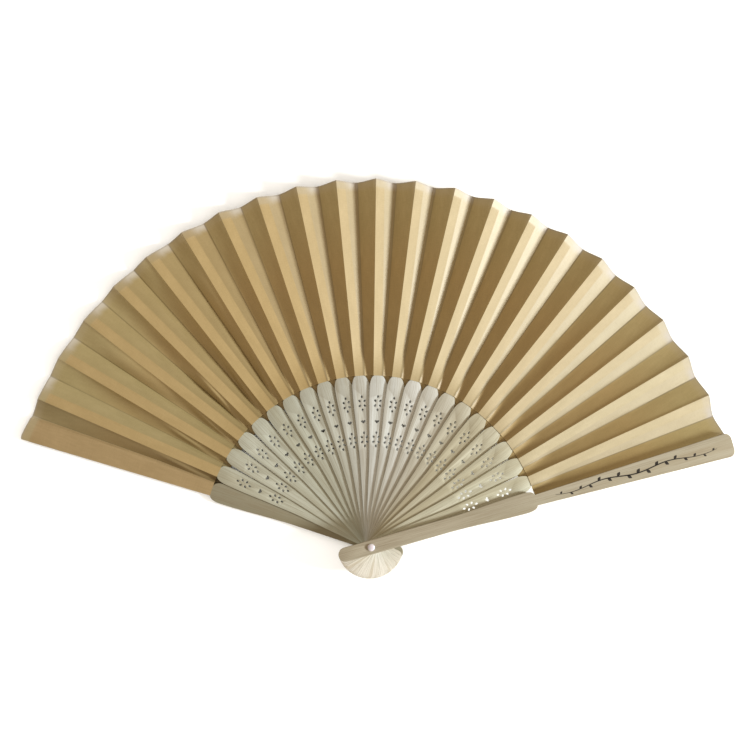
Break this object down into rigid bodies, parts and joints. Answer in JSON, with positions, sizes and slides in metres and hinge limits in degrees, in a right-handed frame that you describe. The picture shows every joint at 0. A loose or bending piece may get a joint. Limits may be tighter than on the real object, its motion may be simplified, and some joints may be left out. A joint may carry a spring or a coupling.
{
  "type": "folding hand fan",
  "caption": "Folding hand fan: pierced bamboo ribs between two guards turn on one rivet, and a pleated gold silk leaf joins them.",
  "frame": {"origin": "on the rivet's axis, at the flat bottom of its rear head", "axes": "+Z along the rivet's axis towards the front guard, +Y up the middle of the open spread, +X towards the front guard's side"},
  "size_m": [0.3702, 0.2073, 0.0232],
  "materials": {
    "guard_bamboo": "smooth bamboo, lightly waxed, fine straight grain",
    "rib_bamboo": "pale sanded bamboo, fine straight grain",
    "leaf_silk": "gold silk with a soft satin sheen, sharply pleated",
    "rivet_plastic": "glossy ivory white"
  },
  "bodies": {
    "back_guard": {"back_guard": "guard_bamboo", "rivet_post": "rivet_plastic", "rivet_cap": "rivet_plastic", "leaf_pleat_01": "leaf_silk"},
    "rib_01": {"rib_01": "rib_bamboo", "leaf_pleat_02": "leaf_silk"},
    "rib_02": {"rib_02": "rib_bamboo", "leaf_pleat_03": "leaf_silk"},
    "rib_03": {"rib_03": "rib_bamboo", "leaf_pleat_04": "leaf_silk"},
    "rib_04": {"rib_04": "rib_bamboo", "leaf_pleat_05": "leaf_silk"},
    "rib_05": {"rib_05": "rib_bamboo", "leaf_pleat_06": "leaf_silk"},
    "rib_06": {"rib_06": "rib_bamboo", "leaf_pleat_07": "leaf_silk"},
    "rib_07": {"rib_07": "rib_bamboo", "leaf_pleat_08": "leaf_silk"},
    "rib_08": {"rib_08": "rib_bamboo", "leaf_pleat_09": "leaf_silk"},
    "rib_09": {"rib_09": "rib_bamboo", "leaf_pleat_10": "leaf_silk"},
    "rib_10": {"rib_10": "rib_bamboo", "leaf_pleat_11": "leaf_silk"},
    "rib_11": {"rib_11": "rib_bamboo", "leaf_pleat_12": "leaf_silk"},
    "rib_12": {"rib_12": "rib_bamboo", "leaf_pleat_13": "leaf_silk"},
    "rib_13": {"rib_13": "rib_bamboo", "leaf_pleat_14": "leaf_silk"},
    "rib_14": {"rib_14": "rib_bamboo", "leaf_pleat_15": "leaf_silk"},
    "rib_15": {"rib_15": "rib_bamboo", "leaf_pleat_16": "leaf_silk"},
    "rib_16": {"rib_16": "rib_bamboo", "leaf_pleat_17": "leaf_silk"},
    "rib_17": {"rib_17": "rib_bamboo", "leaf_pleat_18": "leaf_silk"},
    "rib_18": {"rib_18": "rib_bamboo", "leaf_pleat_19": "leaf_silk"},
    "rib_19": {"rib_19": "rib_bamboo", "leaf_pleat_20": "leaf_silk"},
    "rib_20": {"rib_20": "rib_bamboo", "leaf_pleat_21": "leaf_silk"},
    "rib_21": {"rib_21": "rib_bamboo", "leaf_pleat_22": "leaf_silk"},
    "front_guard": {"front_guard": "guard_bamboo"}
  },
  "joints": [
    {"name": "fold", "type": "hinge", "parent": "back_guard", "child": "rib_01", "pos_m": [0, 0, 0.0108], "axis": [0, 0, 1], "range_deg": [0, 6.87], "deforming": ["leaf_pleat_01"]},
    {"name": "fold_02", "type": "hinge", "parent": "rib_01", "child": "rib_02", "pos_m": [0, 0, 0.0108], "axis": [0, 0, 1], "range_deg": [0, 7.18], "deforming": ["leaf_pleat_02"]},
    {"name": "fold_03", "type": "hinge", "parent": "rib_02", "child": "rib_03", "pos_m": [0, 0, 0.0108], "axis": [0, 0, 1], "range_deg": [0, 7.2], "deforming": ["leaf_pleat_03"]},
    {"name": "fold_04", "type": "hinge", "parent": "rib_03", "child": "rib_04", "pos_m": [0, 0, 0.0108], "axis": [0, 0, 1], "range_deg": [0, 7.09], "deforming": ["leaf_pleat_04"]},
    {"name": "fold_05", "type": "hinge", "parent": "rib_04", "child": "rib_05", "pos_m": [0, 0, 0.0108], "axis": [0, 0, 1], "range_deg": [0, 6.93], "deforming": ["leaf_pleat_05"]},
    {"name": "fold_06", "type": "hinge", "parent": "rib_05", "child": "rib_06", "pos_m": [0, 0, 0.0108], "axis": [0, 0, 1], "range_deg": [0, 6.77], "deforming": ["leaf_pleat_06"]},
    {"name": "fold_07", "type": "hinge", "parent": "rib_06", "child": "rib_07", "pos_m": [0, 0, 0.0108], "axis": [0, 0, 1], "range_deg": [0, 6.62], "deforming": ["leaf_pleat_07"]},
    {"name": "fold_08", "type": "hinge", "parent": "rib_07", "child": "rib_08", "pos_m": [0, 0, 0.0108], "axis": [0, 0, 1], "range_deg": [0, 6.49], "deforming": ["leaf_pleat_08"]},
    {"name": "fold_09", "type": "hinge", "parent": "rib_08", "child": "rib_09", "pos_m": [0, 0, 0.0108], "axis": [0, 0, 1], "range_deg": [0, 6.39], "deforming": ["leaf_pleat_09"]},
    {"name": "fold_10", "type": "hinge", "parent": "rib_09", "child": "rib_10", "pos_m": [0, 0, 0.0108], "axis": [0, 0, 1], "range_deg": [0, 6.31], "deforming": ["leaf_pleat_10"]},
    {"name": "fold_11", "type": "hinge", "parent": "rib_10", "child": "rib_11", "pos_m": [0, 0, 0.0108], "axis": [0, 0, 1], "range_deg": [0, 6.26], "deforming": ["leaf_pleat_11"]},
    {"name": "fold_12", "type": "hinge", "parent": "rib_11", "child": "rib_12", "pos_m": [0, 0, 0.0108], "axis": [0, 0, 1], "range_deg": [0, 6.24], "deforming": ["leaf_pleat_12"]},
    {"name": "fold_13", "type": "hinge", "parent": "rib_12", "child": "rib_13", "pos_m": [0, 0, 0.0108], "axis": [0, 0, 1], "range_deg": [0, 6.25], "deforming": ["leaf_pleat_13"]},
    {"name": "fold_14", "type": "hinge", "parent": "rib_13", "child": "rib_14", "pos_m": [0, 0, 0.0108], "axis": [0, 0, 1], "range_deg": [0, 6.28], "deforming": ["leaf_pleat_14"]},
    {"name": "fold_15", "type": "hinge", "parent": "rib_14", "child": "rib_15", "pos_m": [0, 0, 0.0108], "axis": [0, 0, 1], "range_deg": [0, 6.34], "deforming": ["leaf_pleat_15"]},
    {"name": "fold_16", "type": "hinge", "parent": "rib_15", "child": "rib_16", "pos_m": [0, 0, 0.0108], "axis": [0, 0, 1], "range_deg": [0, 6.42], "deforming": ["leaf_pleat_16"]},
    {"name": "fold_17", "type": "hinge", "parent": "rib_16", "child": "rib_17", "pos_m": [0, 0, 0.0108], "axis": [0, 0, 1], "range_deg": [0, 6.53], "deforming": ["leaf_pleat_17"]},
    {"name": "fold_18", "type": "hinge", "parent": "rib_17", "child": "rib_18", "pos_m": [0, 0, 0.0108], "axis": [0, 0, 1], "range_deg": [0, 6.65], "deforming": ["leaf_pleat_18"]},
    {"name": "fold_19", "type": "hinge", "parent": "rib_18", "child": "rib_19", "pos_m": [0, 0, 0.0108], "axis": [0, 0, 1], "range_deg": [0, 6.76], "deforming": ["leaf_pleat_19"]},
    {"name": "fold_20", "type": "hinge", "parent": "rib_19", "child": "rib_20", "pos_m": [0, 0, 0.0108], "axis": [0, 0, 1], "range_deg": [0, 6.83], "deforming": ["leaf_pleat_20"]},
    {"name": "fold_21", "type": "hinge", "parent": "rib_20", "child": "rib_21", "pos_m": [0, 0, 0.0108], "axis": [0, 0, 1], "range_deg": [0, 6.76], "deforming": ["leaf_pleat_21"]},
    {"name": "fold_22", "type": "hinge", "parent": "rib_21", "child": "front_guard", "pos_m": [0, 0, 0.0108], "axis": [0, 0, 1], "range_deg": [0, 6.4], "deforming": ["leaf_pleat_22"]}
  ],
  "couplings": [
    {"joint": "fold_02", "follows": "fold", "ratio": 1.0451},
    {"joint": "fold_03", "follows": "fold", "ratio": 1.0487},
    {"joint": "fold_04", "follows": "fold", "ratio": 1.0328},
    {"joint": "fold_05", "follows": "fold", "ratio": 1.0096},
    {"joint": "fold_06", "follows": "fold", "ratio": 0.98557},
    {"joint": "fold_07", "follows": "fold", "ratio": 0.96361},
    {"joint": "fold_08", "follows": "fold", "ratio": 0.94498},
    {"joint": "fold_09", "follows": "fold", "ratio": 0.9301},
    {"joint": "fold_10", "follows": "fold", "ratio": 0.91911},
    {"joint": "fold_11", "follows": "fold", "ratio": 0.91201},
    {"joint": "fold_12", "follows": "fold", "ratio": 0.9088},
    {"joint": "fold_13", "follows": "fold", "ratio": 0.90949},
    {"joint": "fold_14", "follows": "fold", "ratio": 0.91407},
    {"joint": "fold_15", "follows": "fold", "ratio": 0.92253},
    {"joint": "fold_16", "follows": "fold", "ratio": 0.93475},
    {"joint": "fold_17", "follows": "fold", "ratio": 0.9503},
    {"joint": "fold_18", "follows": "fold", "ratio": 0.96795},
    {"joint": "fold_19", "follows": "fold", "ratio": 0.9847},
    {"joint": "fold_20", "follows": "fold", "ratio": 0.99419},
    {"joint": "fold_21", "follows": "fold", "ratio": 0.98415},
    {"joint": "fold_22", "follows": "fold", "ratio": 0.93267}
  ]
}
